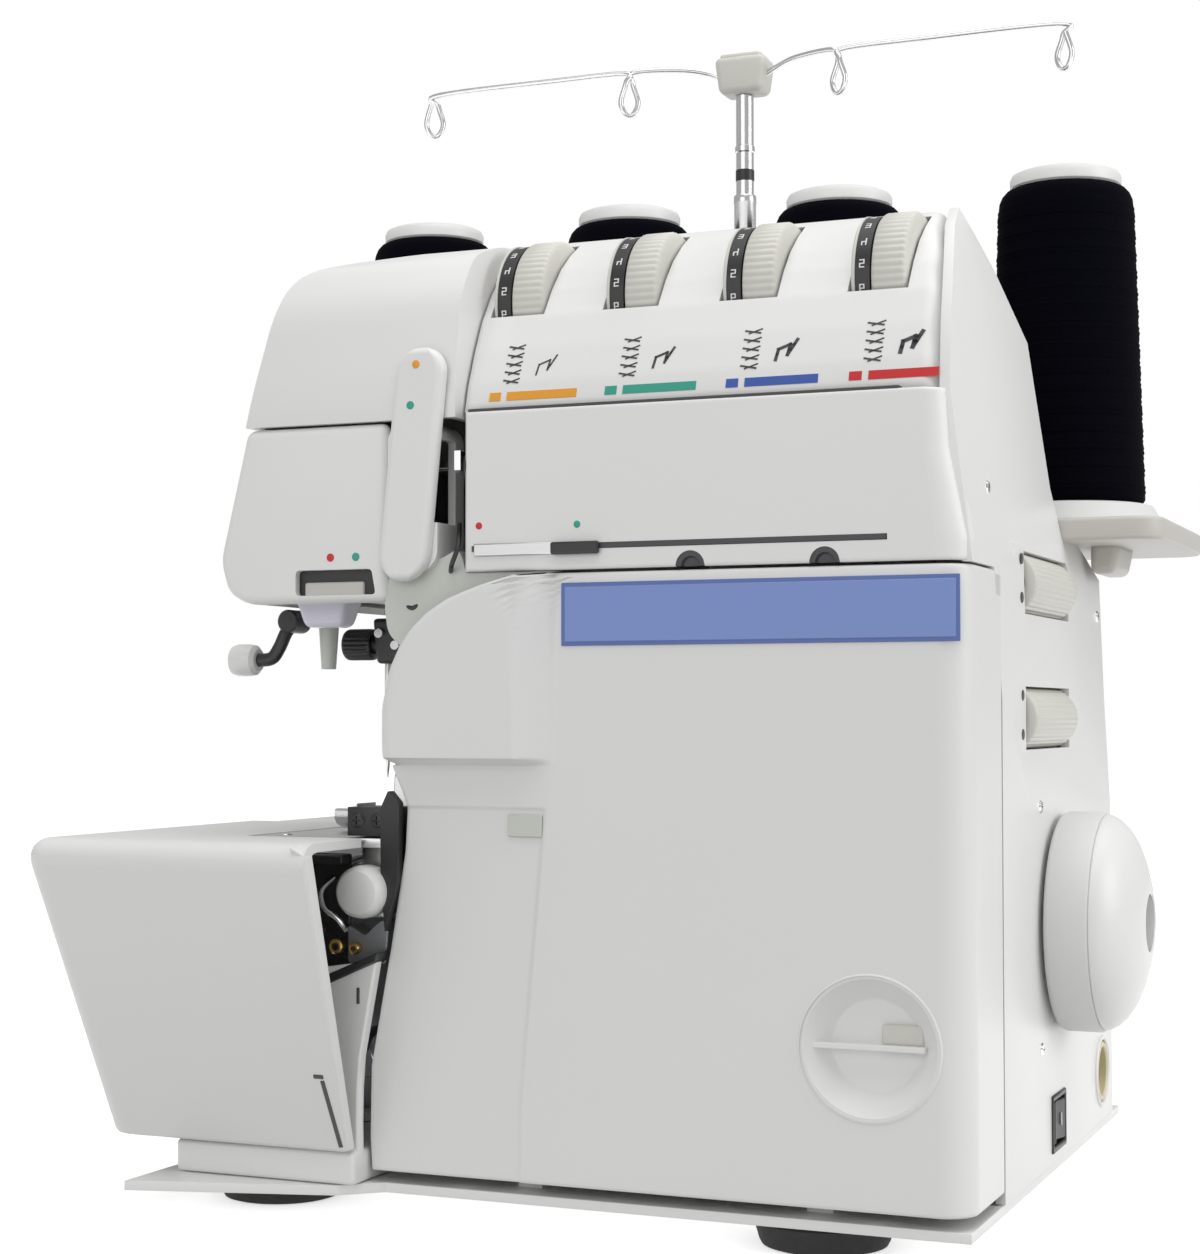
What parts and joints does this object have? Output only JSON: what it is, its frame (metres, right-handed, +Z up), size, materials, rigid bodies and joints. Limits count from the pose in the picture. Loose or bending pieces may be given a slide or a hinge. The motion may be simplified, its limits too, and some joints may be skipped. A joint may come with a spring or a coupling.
{
  "type": "serger overlock machine",
  "caption": "Four-thread serger with an opening front cover, swinging cloth plate, tension dials, handwheel, loopers, needle bar and a telescopic thread stand with cones.",
  "frame": {"origin": "on the table, under the middle of the machine's bounding box", "axes": "+Z up, +X along the arm towards the handwheel, -Y towards the operator"},
  "size_m": [0.329, 0.282, 0.41],
  "materials": {
    "shell": "white moulded plastic, satin",
    "shell_shade": "greenish grey moulded plastic",
    "grey": "warm grey moulded plastic",
    "blue": "blue printed panel",
    "black": "black plastic and blackened steel",
    "rubber": "black rubber",
    "steel": "polished steel",
    "cast": "cast metal",
    "cream": "cream plastic",
    "lens": "milky lamp lens",
    "thread": "wound navy thread"
  },
  "bodies": {
    "root": {"arm_front_panel": "shell", "arm_underside": "shell_shade", "base_left_panel": "shell", "base_tray": "shell_shade", "bed_rear_cover": "shell", "column_cover": "shell", "dial_panel": "shell", "drive_belt": "rubber", "face_cover": "shell", "foot_front_left": "rubber", "foot_front_right": "rubber", "foot_rear_left": "rubber", "foot_rear_right": "rubber", "head_cover": "shell", "lamp_lens": "lens", "looper_base": "cast", "lower_knife": "steel", "machine_frame": "cast", "mast_lower": "steel", "motor": "cast", "needle_plate": "steel", "power_inlet": "cream", "rear_cover": "shell", "right_side_cover": "shell", "shaft_bearing": "cast", "spool_tray": "grey", "takeup_cover": "shell", "thread_cone_1": "thread", "thread_cone_2": "thread", "thread_cone_3": "thread", "thread_cone_4": "thread", "upper_casing": "shell"},
    "cover_carrier": {"cover_hinge_shaft": "steel"},
    "front_cover": {"front_cover": "shell", "cover_band": "blue"},
    "cloth_plate": {"cloth_plate": "shell"},
    "main_shaft": {"main_shaft": "steel", "handwheel": "shell", "handwheel_cap": "grey"},
    "motor_rotor": {"motor_pulley": "steel"},
    "needle_bar": {"needle_bar": "steel", "needle_clamp": "black"},
    "presser": {"presser_bar": "steel", "presser_foot": "steel"},
    "presser_lifter": {"presser_lifter": "black"},
    "feed_dogs": {"feed_dogs": "steel"},
    "upper_looper": {"upper_looper": "steel"},
    "lower_looper": {"lower_looper": "steel"},
    "upper_knife": {"upper_knife": "black"},
    "knife_knob": {"knife_knob": "shell"},
    "take_up_lever": {"take_up_lever": "steel"},
    "tension_dial_1": {"tension_dial_1": "grey"},
    "tension_dial_2": {"tension_dial_2": "grey"},
    "tension_dial_3": {"tension_dial_3": "grey"},
    "tension_dial_4": {"tension_dial_4": "grey"},
    "feed_dial": {"feed_dial": "grey"},
    "length_dial": {"length_dial": "grey"},
    "rocker_switch": {"rocker_switch": "black"},
    "mast_upper": {"mast_upper": "steel"},
    "antenna_head": {"antenna_head": "grey"}
  },
  "joints": [
    {"name": "cover_slide", "type": "slide", "parent": "root", "child": "cover_carrier", "axis": [1, 0, 0], "range_m": [0, 0.008]},
    {"name": "cover_swing", "type": "hinge", "parent": "cover_carrier", "child": "front_cover", "pos_m": [0, -0.0934, 0.0195], "axis": [1, 0, 0], "range_deg": [0, 85]},
    {"name": "cloth_plate_swing", "type": "hinge", "parent": "root", "child": "cloth_plate", "pos_m": [-0.147, -0.02, 0.1], "axis": [0, 0, -1], "range_deg": [0, 60]},
    {"name": "shaft_turn", "type": "hinge", "parent": "root", "child": "main_shaft", "pos_m": [0, 0.024, 0.088], "axis": [1, 0, 0], "continuous": true},
    {"name": "motor_turn", "type": "hinge", "parent": "root", "child": "motor_rotor", "pos_m": [0, 0.074, 0.046], "axis": [1, 0, 0], "continuous": true},
    {"name": "needle_stroke", "type": "slide", "parent": "root", "child": "needle_bar", "axis": [0, 0, 1], "range_m": [-0.026, 0]},
    {"name": "presser_lift", "type": "slide", "parent": "root", "child": "presser", "axis": [0, 0, 1], "range_m": [0, 0.006]},
    {"name": "lifter_turn", "type": "hinge", "parent": "root", "child": "presser_lifter", "pos_m": [-0.1, -0.072, 0.1856], "axis": [0, 1, 0], "range_deg": [0, 34]},
    {"name": "feed_slide", "type": "slide", "parent": "root", "child": "feed_dogs", "axis": [0, 1, 0], "range_m": [-0.0012, 0.0015]},
    {"name": "lower_looper_rock", "type": "hinge", "parent": "root", "child": "lower_looper", "pos_m": [-0.086, -0.06, 0.048], "axis": [0, 1, 0], "range_deg": [-8, 8]},
    {"name": "upper_looper_rock", "type": "hinge", "parent": "root", "child": "upper_looper", "pos_m": [-0.064, -0.07, 0.048], "axis": [0, 1, 0], "range_deg": [-7, 7]},
    {"name": "upper_knife_rock", "type": "hinge", "parent": "root", "child": "upper_knife", "pos_m": [-0.048, -0.066, 0.1], "axis": [-1, 0, 0], "range_deg": [0, 9]},
    {"name": "knife_knob_turn", "type": "hinge", "parent": "root", "child": "knife_knob", "pos_m": [-0.058, -0.1, 0.1005], "axis": [0, -1, 0], "range_deg": [0, 180]},
    {"name": "take_up_rock", "type": "hinge", "parent": "root", "child": "take_up_lever", "pos_m": [-0.027, -0.07, 0.228], "axis": [1, 0, 0], "range_deg": [-10, 10]},
    {"name": "tension_1_turn", "type": "hinge", "parent": "root", "child": "tension_dial_1", "pos_m": [-0.015, -0.06, 0.284], "axis": [1, 0, 0], "range_deg": [-150, 150]},
    {"name": "tension_2_turn", "type": "hinge", "parent": "root", "child": "tension_dial_2", "pos_m": [0.023, -0.06, 0.284], "axis": [1, 0, 0], "range_deg": [-150, 150]},
    {"name": "tension_3_turn", "type": "hinge", "parent": "root", "child": "tension_dial_3", "pos_m": [0.061, -0.06, 0.284], "axis": [1, 0, 0], "range_deg": [-150, 150]},
    {"name": "tension_4_turn", "type": "hinge", "parent": "root", "child": "tension_dial_4", "pos_m": [0.101, -0.06, 0.284], "axis": [1, 0, 0], "range_deg": [-150, 150]},
    {"name": "feed_dial_turn", "type": "hinge", "parent": "root", "child": "feed_dial", "pos_m": [0.1252, 0.002, 0.196], "axis": [0, 1, 0], "range_deg": [-60, 60]},
    {"name": "length_dial_turn", "type": "hinge", "parent": "root", "child": "length_dial", "pos_m": [0.1252, 0.002, 0.154], "axis": [0, 1, 0], "range_deg": [-90, 90]},
    {"name": "switch_rock", "type": "hinge", "parent": "root", "child": "rocker_switch", "pos_m": [0.125, 0.018, 0.024], "axis": [0, 1, 0], "range_deg": [-6, 6]},
    {"name": "mast_slide", "type": "slide", "parent": "root", "child": "mast_upper", "axis": [0, 0, 1], "range_m": [-0.034, 0]},
    {"name": "antenna_turn", "type": "hinge", "parent": "mast_upper", "child": "antenna_head", "pos_m": [-0.0045, 0.105, 0.4], "axis": [0, 0, 1], "range_deg": [-90, 90]}
  ],
  "couplings": [
    {"joint": "motor_turn", "follows": "shaft_turn", "ratio": 3.5},
    {"joint": "lifter_turn", "follows": "presser_lift", "rad_per_m": 98.9},
    {"joint": "upper_looper_rock", "follows": "lower_looper_rock", "ratio": -0.85}
  ]
}
